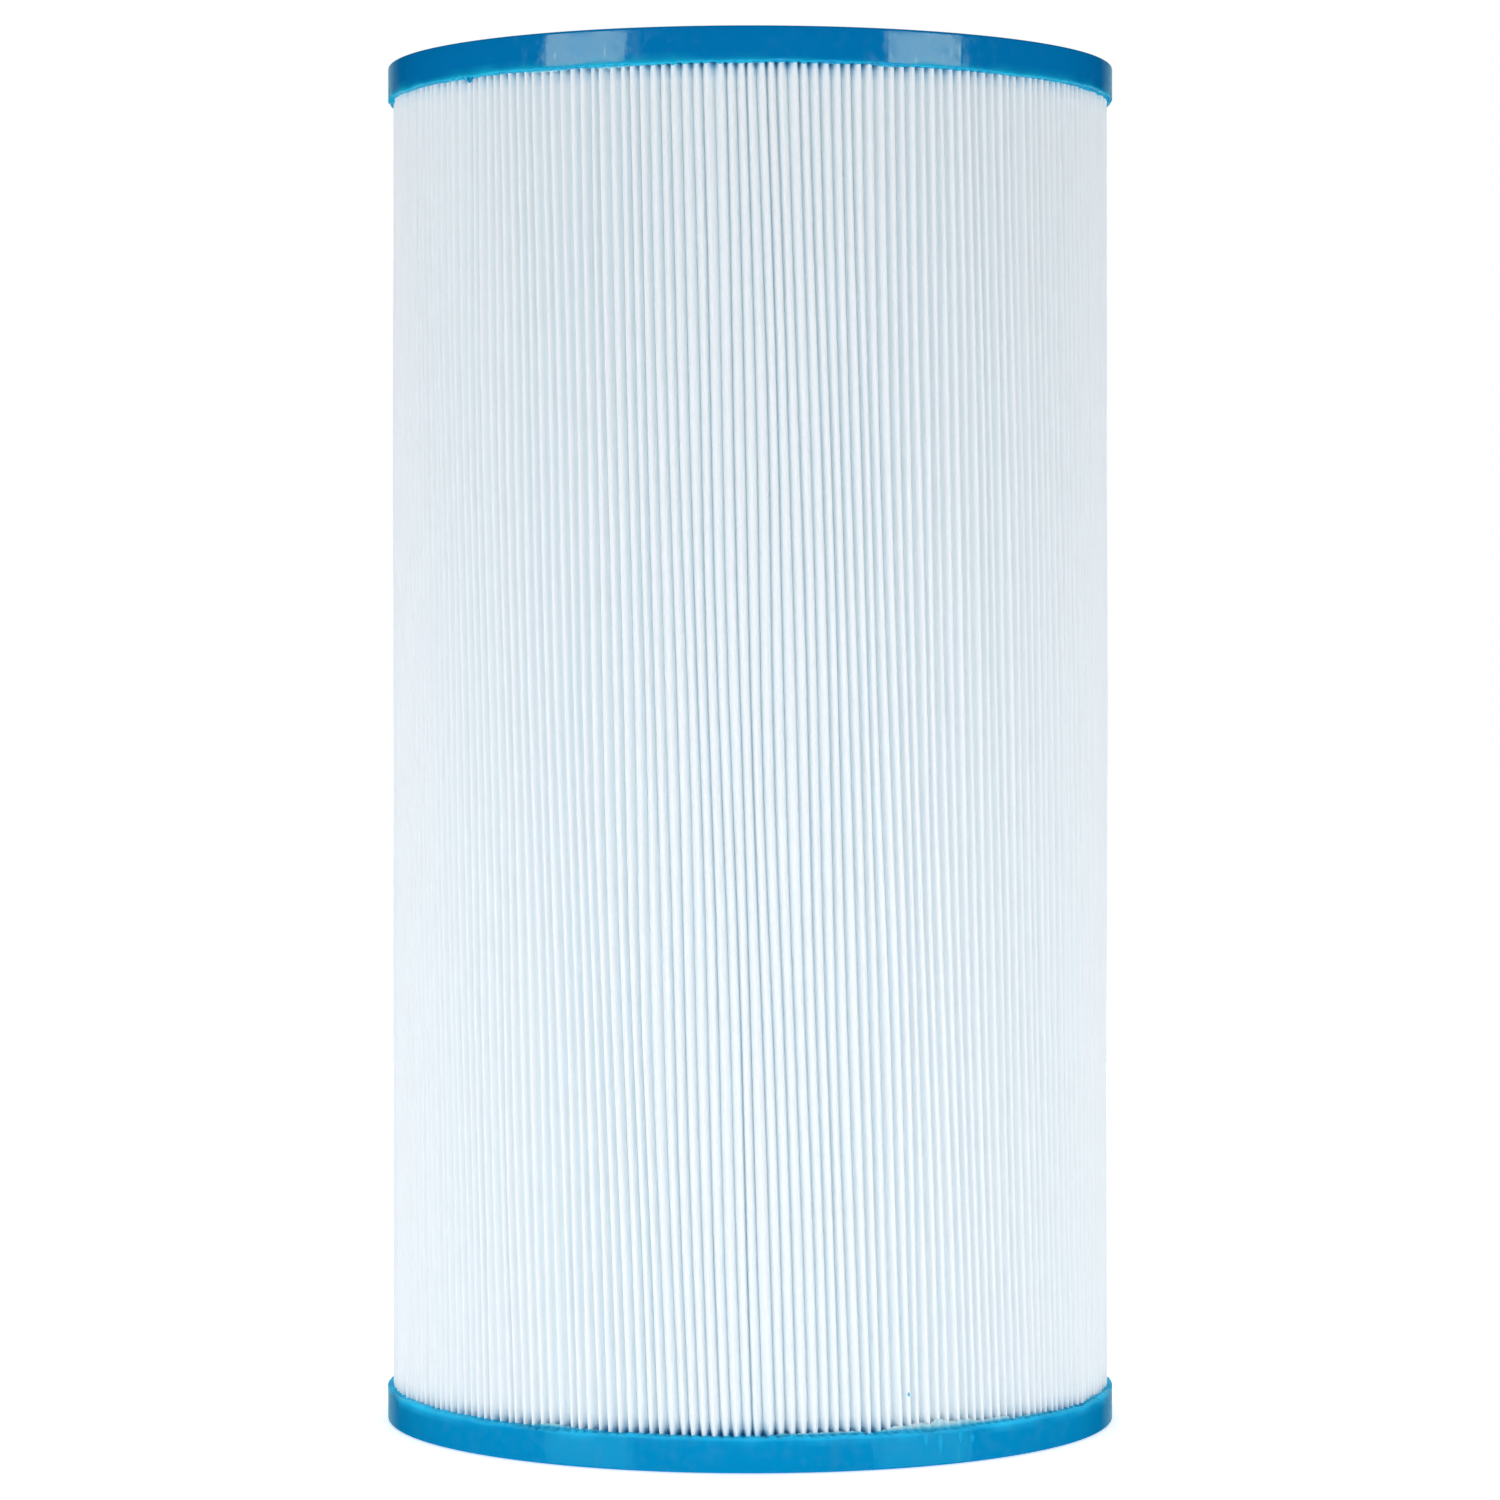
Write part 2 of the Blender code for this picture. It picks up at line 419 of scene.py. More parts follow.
def urethane(name, colour, thin_colour, glow, wobble):
    """Cast blue polyurethane: glossy, clouded and scuffed, with a thin lip that is paler and may glow.

    The lip is paler partly by the colour of thin resin and partly as painted light shining through it;
    its glow is painted light.
    """
    finish = Finish(name, roughness=0.08, specular=0.3)
    cloud = finish.spread(finish.noise(28.0, detail=4.0), 0.3, 0.7)
    deep = tuple(channel * 0.95 for channel in colour)
    chalky = tuple(channel * 0.85 + 0.06 for channel in colour)
    scuffs = finish.spread(finish.noise(75.0, detail=6.0, roughness=0.7), 0.62, 0.78, 0.0, 0.35)
    body = finish.blend(scuffs, finish.blend(cloud, deep, colour), chalky)
    thin = finish.attribute("thin")
    # Painted light in part: the thin lip is paler, partly as thin resin is, partly for light shining
    # through it
    finish.set("Base Color", finish.blend(thin, body, thin_colour))
    # Painted glow: the thin lip emits its paler colour in place of light that soaked into the resin
    finish.set("Emission Color", finish.blend(thin, BLACK, thin_colour))
    finish.shader.inputs["Emission Strength"].default_value = glow
    haze = finish.noise(260.0, detail=6.0, roughness=0.65)
    finish.set("Roughness", finish.spread(haze, 0.45, 0.68, 0.06, 0.26))
    runs = finish.noise(1.0, detail=3.0, place=finish.stretched((330, 330, 30)))
    scratches = finish.noise(1.0, detail=2.0, place=finish.stretched((900, 900, 110)))
    streaks = finish.spread(scratches, 0.66, 0.74, 0.28, 0.6)
    lip = finish.spread(thin, 0.1, 0.7)
    finish.set("Specular IOR Level", finish.blend(lip, streaks, (0.04, 0.04, 0.04)))
    finish.bump(finish.noise(60.0, detail=2.0), 0.0002, strength=0.12)
    finish.bump(runs, 0.00006, strength=wobble)
    finish.bump(finish.noise(1900.0, detail=3.0), 0.00002, strength=0.2)
    return finish.material


def resin_film_finish():
    """The same resin where it is a mere film over the white sheet, whiter the further it spread."""
    finish = Finish("blue_urethane_film", roughness=0.15, specular=0.4)
    patch = finish.spread(finish.noise(230.0, detail=5.0, roughness=0.65), 0.36, 0.60)
    pale = finish.blend(patch, (0.52, 0.83, 0.91), (0.88, 0.96, 0.98))
    thin = finish.attribute("thin")
    foot = finish.blend(finish.spread(thin, 0.0, 0.35), (0.01, 0.36, 0.66), (0.08, 0.60, 0.80))
    finish.set("Base Color", finish.blend(finish.spread(thin, 0.3, 1.0), foot, pale))
    finish.bump(finish.noise(700.0, detail=4.0), 0.0002, strength=0.5)
    finish.let_through(0.25, (0.35, 0.78, 0.90))
    return finish.material


def spunbond():
    """Point-bonded spunbonded polyester: white, matt, mottled by its fibres and slightly see-through."""
    finish = Finish("white_polyester", roughness=0.85, specular=0.2)
    fibres = finish.noise(1.0, detail=5.0, roughness=0.7, place=finish.stretched((2600, 2600, 900)))
    mottle = finish.spread(finish.noise(240.0, detail=4.0), 0.3, 0.7)
    weave = finish.blend(mottle, (0.900, 0.935, 0.965), (0.938, 0.962, 0.984))
    weave = finish.blend(finish.spread(fibres, 0.35, 0.7), weave, (0.958, 0.976, 0.992))
    # Painted light: the deep parts of the folds are tinted bluer, standing in for bluish light bounced
    # into the grooves
    weave = finish.blend(finish.attribute("depth"), weave, (0.900, 0.965, 0.995))
    finish.set("Base Color", finish.blend(finish.attribute("stain"), weave, (0.06, 0.40, 0.62)))
    finish.bump(finish.cells(1500.0), 0.00008, strength=0.35)
    finish.bump(fibres, 0.00010, strength=0.5)
    finish.bump(finish.noise(130.0, detail=2.0), 0.0003, strength=0.25)
    finish.let_through(SHEET_PASSES, (0.93, 0.965, 0.985))
    return finish.material


def core_plastic():
    """White injection moulding with a fine satin grain."""
    finish = Finish("white_core_plastic", roughness=0.4)
    patch = finish.spread(finish.noise(60.0), 0.3, 0.7)
    finish.set("Base Color", finish.blend(patch, (0.80, 0.81, 0.82), (0.86, 0.87, 0.88)))
    finish.set("Roughness", finish.spread(finish.noise(700.0, detail=4.0), 0.3, 0.7, 0.34, 0.50))
    finish.bump(finish.noise(2500.0, detail=2.0), 0.00003, strength=0.4)
    return finish.material


def hot_melt():
    """Milky hot-melt glue."""
    finish = Finish("hot_melt", roughness=0.35)
    cloud = finish.spread(finish.noise(160.0, detail=4.0), 0.3, 0.7)
    finish.set("Base Color", finish.blend(cloud, (0.78, 0.76, 0.68), (0.88, 0.87, 0.82)))
    finish.bump(finish.noise(500.0, detail=3.0), 0.0002, strength=0.5)
    return finish.material


# ---------------------------------------------------------------- pleated sheet


def pleat_lines():
    """Heights of the sheet's levels, and at each the angle of every pleat's crest and root."""
    rng = np.random.default_rng(SEED)
    low = SHEET_BOTTOM + np.array(END_STEPS)
    high = SHEET_TOP - np.array(END_STEPS)[::-1]
    heights = np.concatenate([low, np.linspace(low[-1], high[0], EVEN_LEVELS + 2)[1:-1], high])
    share = ((heights - SHEET_BOTTOM) / (SHEET_TOP - SHEET_BOTTOM))[:, None]
    even = TURN * np.arange(PLEATS) / PLEATS
    middle = share - 0.5
    roots = even + TWIST * (TWIST_QUICKENS * (middle**2 - 0.25) - middle)
    for _ in range(DRIFTS):
        order = rng.integers(1, 16)
        waves = rng.uniform(0.4, 2.2)
        phase = rng.uniform(0, TURN)
        roots = roots + DRIFT / CREST_RADIUS * np.cos(order * even + TURN * waves * share + phase)
    crests = roots.copy()
    for wave in range(1, 7):
        size = rng.normal(0, WAVER / wave**0.7, PLEATS)
        crests += size / CREST_RADIUS * np.cos(pi * wave * share)
    return heights, crests, roots


def near_resin(heights):
    """How far the resin pinches the pleats, falling off along the sheet from either cap."""
    below = np.clip(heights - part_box("bottom_end_cap")[1].z + MOAT_DEPTH, 0, None)
    above = np.clip(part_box("top_end_cap")[0].z - heights + MOAT_DEPTH, 0, None)
    return (PINCH * np.exp(-below / PINCH_REACH) + TOP_PINCH * np.exp(-above / PINCH_REACH))[:, None]


def crest_radii(heights):
    """Radius of every crest at every level: the folds don't all come out to the same circle."""
    rng = np.random.default_rng(SEED + 1)
    share = ((heights - heights[0]) / (heights[-1] - heights[0]))[:, None]
    radii = np.full((len(heights), PLEATS), CREST_RADIUS - CREST_INSET)
    for wave in range(5):
        radii = radii + rng.normal(0, CREST_SCATTER, PLEATS) * np.cos(pi * wave * share)
    return radii


def neighbours(angles, side):
    """The same angles one pleat further round (side 1) or one pleat back (side -1)."""
    moved = np.roll(angles, -side, axis=1)
    moved[:, -1 if side > 0 else 0] += side * TURN
    return moved


def pleat_borders(crests, roots, radius, side):
    """Angle of the line where every pleat meets its neighbour on one side, at a radius."""
    valleys = (roots + neighbours(roots, 1)) / 2
    down = (CREST_RADIUS - radius) / (CREST_RADIUS - ROOT_RADIUS)
    lines = (crests + neighbours(crests, 1)) / 2 * (1 - down) + valleys * down
    return lines if side > 0 else neighbours(lines, -1)


def flank(heights, crests, roots, side):
    """Corners down one flank of every pleat, from near the crest to where the neighbour is met."""
    radii = crest_radii(heights)
    pinch = near_resin(heights)
    corners = []
    for depth, share in FLANK:
        radius = radii - depth * (1 + 3 * pinch)
        full = pleat_borders(crests, roots, radius, side) - side * PLEAT_GAP / 2 / radius
        narrow = crests + side * (CREST_HALF * (1 - pinch)) / radius
        corners.append((radius, narrow + (full - narrow) * share))
    return corners


def crest_arc(heights, crests):
    """The rounded top of every pleat."""
    radii = crest_radii(heights)
    crest_half = CREST_HALF * (1 - near_resin(heights))
    corners = []
    for step in range(5):
        lean = -pi / 2 + pi * step / 4
        corners.append((radii - CREST_ROUND * (1 - cos(lean)), crests + crest_half * sin(lean) / radii))
    return corners


def pleat_corners(heights, crests, roots):
    """Every pleat's corners at every level, on the sheet's outer face and on its inner face.

    The outer face has 14, from where the left flank leaves the neighbour over the crest to the right
    flank and down to the valley. The inner face has 6.
    """
    left = flank(heights, crests, roots, -1)
    right = flank(heights, crests, roots, 1)
    valleys = (roots + neighbours(roots, 1)) / 2
    valley = (np.full_like(valleys, ROOT_RADIUS + 2 * SHEET), valleys)
    outer = left[::-1] + crest_arc(heights, crests) + right + [valley]
    low = ROOT_RADIUS + SHEET + 0.0001
    inner = [
        (left[-1][0], left[-1][1] + SHEET / left[-1][0]),
        (crest_radii(heights) - SHEET, crests),
        (right[-1][0], right[-1][1] - SHEET / right[-1][0]),
        (np.full_like(valleys, low), valleys - ROOT_NOSE / low),
        (np.full_like(valleys, ROOT_RADIUS + 0.0001), valleys),
        (np.full_like(valleys, low), valleys + ROOT_NOSE / low),
    ]
    return outer, inner


def pleated_sheet(material, heights, crests, roots):
    """The folded sheet as one closed solid of its real thickness."""
    chains = []
    for chain in pleat_corners(heights, crests, roots):
        rings = [on_circle(radius, angle, heights[:, None]) for radius, angle in chain]
        chains.append(np.stack(rings, axis=2))
    vertices = np.concatenate([chain.reshape(-1, 3) for chain in chains])
    mesh = mesh_from("pleated_sheet", vertices.tolist(), sheet_walls(chains) + sheet_ends(chains))
    depth = np.clip((CREST_RADIUS - np.hypot(vertices[:, 0], vertices[:, 1])) / FLANK[-1][0], 0, 1)
    away = np.minimum(vertices[:, 2] - CAP_HEIGHT, LENGTH - CAP_HEIGHT - vertices[:, 2])
    soaked = np.clip(1 - away / STAIN_HEIGHT, 0, 1) ** 1.5 * (0.12 + 0.88 * depth)
    # depth drives the painted bluish light deep in the folds, and also weights the resin stain
    note(mesh, "depth", depth)
    note(mesh, "stain", soaked)
    sheet = add_piece("pleated_sheet", mesh, material, smooth_angle=75)
    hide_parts("pleated_media")


def sheet_walls(chains):
    """The sheet's outer and inner faces, between its levels."""
    faces = []
    first = 0
    for chain in chains:
        levels, pleats, corners = chain.shape[:3]
        ring = pleats * corners
        low = first + np.arange(ring * (levels - 1))
        step = np.where((low - first) % ring == ring - 1, 1 - ring, 1)
        faces += np.stack([low, low + step, low + step + ring, low + ring], axis=1).tolist()
        first += ring * levels
    return faces


def sheet_ends(chains):
    """The sheet's two cut edges, as flat faces between its outer and inner corners."""
    levels, _, outer_count = chains[0].shape[:3]
    inner_count = chains[1].shape[2]
    outer_ring = outer_count * PLEATS
    first = len(FLANK)
    last = outer_count - len(FLANK) - 2
    inner_ring = inner_count * PLEATS
    faces = []
    for level in (0, levels - 1):
        outer_start = level * outer_ring
        inner_start = levels * outer_ring + level * inner_ring
        for pleat in range(PLEATS):
            after = (pleat + 1) % PLEATS
            o = [outer_start + pleat * outer_count + corner for corner in range(outer_count)]
            i = [inner_start + pleat * inner_count + corner for corner in range(inner_count)]
            next_o = outer_start + after * outer_count
            next_i = inner_start + after * inner_count
            faces.append(o[first : last + 1] + [i[1]])
            faces.append([*o[last:-1], i[2], i[1]])
            faces.append([o[-2], o[-1], i[3], i[2]])
            faces.append([o[-1], i[5], i[4], i[3]])
            faces.append([o[-1], next_o, next_i, i[5]])
            faces.append([*o[: first + 1], i[1], i[0]])
    return faces


def seam_bead(material, heights, crests):
    """The hot-melt between the sheet's first and last fold, which follows its groove."""
    groove = (crests[:, SEAM_PLEAT] + crests[:, SEAM_PLEAT + 1]) / 2
    gap = (crests[:, SEAM_PLEAT + 1] - crests[:, SEAM_PLEAT]) * CREST_RADIUS / 2 - CREST_HALF
    rng = np.random.default_rng(SEED + 2)
    fine = np.linspace(heights[0], heights[-1], SEAM_LEVELS)
    centre = np.interp(fine, heights, groove)
    half = np.interp(fine, heights, gap) + 0.00006
    proud = CREST_RADIUS - 0.0009 + 0.00025 * ripple(rng, TURN * np.linspace(0, 1, len(fine)), 3, 40, 0.5)
    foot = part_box("side_seam_strip")[0].y
    outline = [(0.0, -1.0), (0.55, -0.8), (1.0, -0.35), (1.0, 0.35), (0.55, 0.8), (0.0, 1.0)]
    rings = []
    for rise, side in outline:
        radius = proud - 0.0005 * (1 - rise)
        rings.append(on_circle(radius, centre + side * half / radius, fine))
    rings.append(on_circle(foot, centre + half / foot, fine))
    rings.append(on_circle(foot, centre - half / foot, fine))
    grid = np.stack(rings, axis=1)
    count = grid.shape[1]
    faces = []
    for level in range(len(fine) - 1):
        for corner in range(count):
            a = level * count + corner
            b = level * count + (corner + 1) % count
            faces.append([a, b, b + count, a + count])
    faces.append(list(range(count)))
    faces.append([(len(fine) - 1) * count + corner for corner in range(count)])
    mesh = mesh_from("side_seam_bead", grid.reshape(-1, 3).tolist(), faces)
    bead = add_piece("side_seam_bead", mesh, material)
    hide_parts("side_seam_strip")


# ---------------------------------------------------------------- end caps


def cap_outline():
    """Section of the bottom casting, from the bore out along the underside and back over the resin."""
    recess_outer = CAP_RADIUS - RIM_LAND
    seal_outer = BORE_RADIUS + SEAL_LAND
    resin = CAP_HEIGHT - MOAT_DEPTH
    skirt_inner = CAP_RADIUS - SKIRT_WALL
    reach = STANDOFF_RADIUS * 1.4
    rows = [(STANDOFF_CIRCLE + reach * step / 6, RECESS_DEPTH, 0) for step in range(-6, 7)]
    return rounded(
        [
            (BORE_RADIUS, 0, 0.0008),
            (seal_outer, 0, 0.0002),
            (seal_outer + RECESS_RAMP, RECESS_DEPTH, 0.0004),
            (0.078, RECESS_DEPTH, 0),
            *rows,
            (recess_outer - RECESS_RAMP, RECESS_DEPTH, 0.0004),
            (recess_outer, 0, 0.0002),
            (CAP_RADIUS, 0, 0.0007),
            (CAP_RADIUS, CAP_HEIGHT * 0.35, 0),
            (CAP_RADIUS, CAP_HEIGHT * 0.7, 0),
            (CAP_RADIUS, CAP_HEIGHT - 0.0014, 0),
            (CAP_RADIUS, CAP_HEIGHT - 0.0009, 0),
            (CAP_RADIUS, CAP_HEIGHT, 0.0004),
            (skirt_inner, CAP_HEIGHT, 0.0003),
            (skirt_inner - 0.0001, resin, 0.00015),
            (CREST_RADIUS, resin, 0),
            (CREST_RADIUS - 0.0006, resin, 0),
            (CREST_RADIUS - 0.0015, resin, 0),
            (CREST_RADIUS - 0.0030, resin, 0),
            (CREST_RADIUS - 0.0060, resin, 0),
            (BORE_RADIUS + 0.010, resin, 0),
            (BORE_RADIUS + COLLAR_WALL, resin, 0.0004),
            (BORE_RADIUS + COLLAR_WALL, CAP_HEIGHT, 0.0004),
            (BORE_RADIUS, CAP_HEIGHT, 0.0004),
        ]
    )


def standoffs(radius, angles, height):
    """How far the underside is pushed in at each place for the round stand-offs of its recess."""
    dimple = np.zeros_like(radius * angles)
    for index in range(STANDOFFS):
        centre = TURN * (index + 0.5) / STANDOFFS
        along = radius * np.cos(angles - centre) - STANDOFF_CIRCLE
        apart = np.hypot(along, radius * np.sin(angles - centre))
        dimple += np.clip((STANDOFF_RADIUS - apart) / STANDOFF_SLOPE, 0, 1)
    return STANDOFF_DEPTH * dimple * (height < CAP_HEIGHT / 2)


def drawn_up(radius, angles, crests):
    """How high the resin climbs near every crest."""
    nearest = to_nearest(angles, crests).min(axis=1) * CREST_RADIUS
    across = np.clip(nearest - CREST_HALF, 0, None)
    beyond = np.clip(radius - CREST_RADIUS, 0, None)
    return MENISCUS * np.exp(-np.hypot(across, beyond) / MENISCUS_REACH)


def end_cap(name, node, material, crests, is_top, seed):
    """One cap as cast: wavy along its free rim, and with resin drawn up round every crest."""
    rng = np.random.default_rng(seed)
    angles = TURN * np.arange(CAP_SEGMENTS) / CAP_SEGMENTS
    outline = cap_outline()
    radius = np.array([point.x for point in outline])[:, None]
    height = np.array([point.y for point in outline])[:, None]
    in_belt = radius > CAP_RADIUS - RESIN_BELT
    wave = 0.00018 * ripple(rng, angles, 4, 60, 0.5) + 0.00010 * ripple(rng, angles, 90, 320, 0.0)
    slack = np.clip(0.00014 * (1 + ripple(rng, angles, 1, 9, 0.8)), 0, 0.0012)
    on_skirt = radius > CAP_RADIUS - 2 * SKIRT_WALL
    near_rim = np.clip((height - CAP_HEIGHT + 0.003) / 0.003, 0, 1) * on_skirt
    is_resin = (np.abs(height - CAP_HEIGHT + MOAT_DEPTH) < 0.00025) * in_belt
    climb = drawn_up(radius, angles, crests)
    dimple = standoffs(radius, angles, height)
    height = height + near_rim * wave + is_resin * (climb - slack) + dimple
    radius = radius + 0.00004 * near_rim * ripple(rng, angles, 20, 90, 0.3)
    edge = 0.0016 + 0.00025 * ripple(rng, angles, 3, 60, 0.5)
    # thin marks the casting's upper lip, which the material paints paler in part and, on the bottom cap,
    # paints a glow on
    thin = np.clip((height - CAP_HEIGHT + edge) / 0.0020, 0, 1) * (radius > CAP_RADIUS - RESIN_BELT)
    if is_top:
        height = LENGTH - height
    mesh = revolved(name, radius, angles, height)
    note(mesh, "thin", thin)
    cap = add_piece(name, mesh, material, smooth_angle=60)
    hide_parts(node)


def bulge(angles, centre, reach):
    """1 at an angle, falling to 0 at a reach either side, in degrees from the side that faces -Y."""
    middle = radians(centre - 90)
    apart = np.abs((angles - middle + pi) % TURN - pi)
    return np.clip(1 - (apart / radians(reach)) ** 2, 0, 1)


def film_rise(rng, angles, in_groove, spills):
    """Height of the film's ragged edge over the cap's rim."""
    rise = 0.00015 + 0.00030 * ripple(rng, angles, 2, 60, 0.4) - 0.0001 * in_groove
    rise += 0.00012 * ripple(rng, angles, 150, 900, 0.0)
    for centre, reach, tall in spills:
        swell = bulge(angles, centre, reach) ** 0.5
        ragged = 1 + 0.09 * ripple(rng, angles, 12, 200, 0.4)
        rise = rise + tall * swell * np.clip(ragged, 0.2, 1.6)
    return np.clip(rise, -0.0009, None)


def film_section(folds, in_groove, base, tip):
    """Corners of the film's closed section, which thins from its base to its tip."""
    back = folds - 0.0003 - 0.0009 * in_groove
    front = folds + 0.00018 - 0.00045 * in_groove
    rows = [(back, base), (front, base)]
    for share in (0.35, 0.65, 0.85, 0.97):
        rows.append((front - 0.00012 * share, base + (tip - base) * share))
    return rows + [(front - 0.00022, tip), (back, tip - 0.0001)]


def resin_film(name, material, crests, radii, is_top, seed, spills):
    """A ragged skin of resin drawn up the folds from the cap, taller where some spilled over the rim."""
    rng = np.random.default_rng(seed)
    angles = TURN * np.arange(FILM_SEGMENTS) / FILM_SEGMENTS
    apart = to_nearest(angles, crests)
    nearest = apart.min(axis=1) * CREST_RADIUS
    folds = radii[apart.argmin(axis=1)]
    in_groove = np.clip((nearest - CREST_HALF * 0.6) / 0.0009, 0, 1)
    tip = CAP_HEIGHT + film_rise(rng, angles, in_groove, spills)
    rows = film_section(folds, in_groove, CAP_HEIGHT - FILM_ROOT, tip)
    radius = np.stack([np.broadcast_to(row[0], angles.shape) for row in rows])
    height = np.stack([np.broadcast_to(row[1], angles.shape) for row in rows])
    thin = np.clip((height - CAP_HEIGHT) / FILM_PALE_HEIGHT, 0, 1)
    if is_top:
        height = LENGTH - height
    mesh = revolved(name, radius, angles, height)
    note(mesh, "thin", thin)
    add_piece(name, mesh, material, smooth_angle=70)


def resin_bead(name, material, radius, azimuth, height, width, tall, proud):
    """A small drop of resin that set on the sheet, under the skirt or down its side."""
    rng = np.random.default_rng(len(name))
    bm = bmesh.new()
    bmesh.ops.create_icosphere(bm, subdivisions=3, radius=1.0)
    lumps = rng.normal(0, 1, (3, 3))
    for vertex in bm.verts:
        swell = 1 + 0.10 * sum(sin(2.2 * vertex.co.dot(Vector(lump)) + lump[0]) for lump in lumps)
        droop = 1 - 0.35 * max(0.0, -vertex.co.z)
        vertex.co = Vector((vertex.co.x * width * droop, vertex.co.y * proud, vertex.co.z * tall)) * swell
    angle = radians(azimuth - 90)
    place = Matrix.Translation((radius * cos(angle), radius * sin(angle), height))
    bm.transform(place @ Matrix.Rotation(angle + pi / 2, 4, "Z"))
    mesh = finished(bm, name)
    # Each drop takes a quarter of the thin resin's paler colour, partly painted light, and the bottom
    # runs of its painted glow
    note(mesh, "thin", np.full(len(mesh.vertices), BEAD_THIN))
    add_piece(name, mesh, material)


# ---------------------------------------------------------------- core


def window_loop(half_width, half_height, corner):
    """32 points round a rounded window, starting at the middle of its lower left corner."""
    loop = []
    for quarter in range(4):
        turn = Matrix.Rotation(quarter * pi / 2, 2)
        a, b = (half_width, half_height) if quarter % 2 == 0 else (half_height, half_width)
        side = []
        for step in range(2):
            lean = pi * (1.25 + step / 8)
            side.append(Vector((-a + corner + corner * cos(lean), -b + corner + corner * sin(lean))))
        for step in range(5):
            side.append(Vector((-a + corner + (a - corner) * step / 2, -b)))
        lean = pi * 1.625
        side.append(Vector((a - corner + corner * cos(lean), -b + corner + corner * sin(lean))))
        loop += [turn @ point for point in side]
    return loop


def cell_loop(left, right, bottom, top):
    """32 points round a cell, starting at its lower left corner."""
    corners = [Vector((left, bottom)), Vector((right, bottom)), Vector((right, top)), Vector((left, top))]
    loop = []
    for start, end in zip(corners, corners[1:] + corners[:1]):
        loop += [start.lerp(end, step / 8) for step in range(8)]
    return loop


def window_cell(bm, outer, angle, middle, bottom, top, window):
    """One window of the core with the plastic round it, as a patch of the tube's outer face."""
    half_cell = pi * outer / WINDOW_COLUMNS
    rim = cell_loop(-half_cell, half_cell, bottom - middle, top - middle)
    hole = window_loop(WINDOW_WIDTH / 2, window / 2, WINDOW_CORNER)
    loops = []
    for share in (0.0, 0.5, 1.0):
        points = [a.lerp(b, share) for a, b in zip(rim, hole)]
        places = [on_circle(outer, angle + p.x / outer, middle + p.y) for p in points]
        loops.append([bm.verts.new(place) for place in places])
    for first, second in zip(loops, loops[1:]):
        for a in range(LOOP):
            b = (a + 1) % LOOP
            bm.faces.new((first[a], first[b], second[b], second[a]))


def core_section(number, material):
    """One windowed ring of the core: a lattice of cells wrapped into a tube, then thickened."""
    node = f"core_section_{number}"
    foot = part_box(node)[0].z
    outer = widest(node)
    section_top = foot + SECTION_PITCH - SECTION_GAP
    window = (SECTION_PITCH - 2 * END_RING - (WINDOW_ROWS - 1) * MIDDLE_RING) / WINDOW_ROWS
    bm = bmesh.new()
    for row in range(WINDOW_ROWS):
        middle = foot + END_RING + window / 2 + row * (window + MIDDLE_RING)
        bottom = foot if row == 0 else middle - (window + MIDDLE_RING) / 2
        top = section_top if row == WINDOW_ROWS - 1 else middle + (window + MIDDLE_RING) / 2
        for column in range(WINDOW_COLUMNS):
            window_cell(bm, outer, TURN * column / WINDOW_COLUMNS, middle, bottom, top, window)
    bmesh.ops.remove_doubles(bm, verts=bm.verts, dist=0.00001)
    bmesh.ops.recalc_face_normals(bm, faces=bm.faces)
    name = f"core_ring_{number}"
    ring = add_piece(name, finished(bm, name), material)
    thicken = ring.modifiers.new("Wall", "SOLIDIFY")
    thicken.thickness = outer - narrowest(node)
    thicken.offset = -1
    soften = ring.modifiers.new("Edges", "BEVEL")
    soften.width = EDGE_ROUND
    soften.segments = 2
    soften.limit_method = "ANGLE"
    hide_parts(node)


# ---------------------------------------------------------------- studio


def floor():
    """A pale floor that glows a little, so that hardly any shadow shows on it."""
    bm = bmesh.new()
    bmesh.ops.create_circle(bm, cap_ends=True, segments=96, radius=FLOOR_RADIUS)
    mesh = finished(bm, "floor")
    obj = put_in_scene("floor", mesh)
    obj.location.z = -FLOOR_DROP
    finish = Finish("floor", roughness=0.9, specular=0.1)
    grain = finish.spread(finish.noise(3.0), 0.3, 0.7)
    finish.set("Base Color", finish.blend(grain, (0.955, 0.96, 0.965), (0.97, 0.972, 0.975)))
    finish.set("Emission Color", finish.blend(grain, (0.97, 0.985, 1.0), (0.98, 0.99, 1.0)))
    finish.shader.inputs["Emission Strength"].default_value = FLOOR_GLOW
    mesh.materials.append(finish.material)
    obj.visible_glossy = False


def facing_axis(obj, degrees, distance, height, aim):
    """Stands obj round the cartridge, looking at the axis: in front at 0 degrees, right of it above."""
    azimuth = radians(degrees)
    obj.location = (distance * sin(azimuth), -distance * cos(azimuth), height)
    look = Vector((0, 0, aim)) - obj.location
    obj.rotation_euler = look.to_track_quat("-Z", "Y").to_euler()


def lamp(name, degrees, distance, height, width, tall, power):
    """A softbox that lights the cartridge and isn't itself seen."""
    light = bpy.data.lights.new(name, "AREA")
    light.shape = "RECTANGLE"
    light.size = width
    light.size_y = tall
    light.energy = power
    light.color = SOFTBOX_COLOUR
    obj = put_in_scene(name, light)
    facing_axis(obj, degrees, distance, height, aim=LAMP_AIM)
    obj.visible_camera = False
    obj.visible_glossy = False


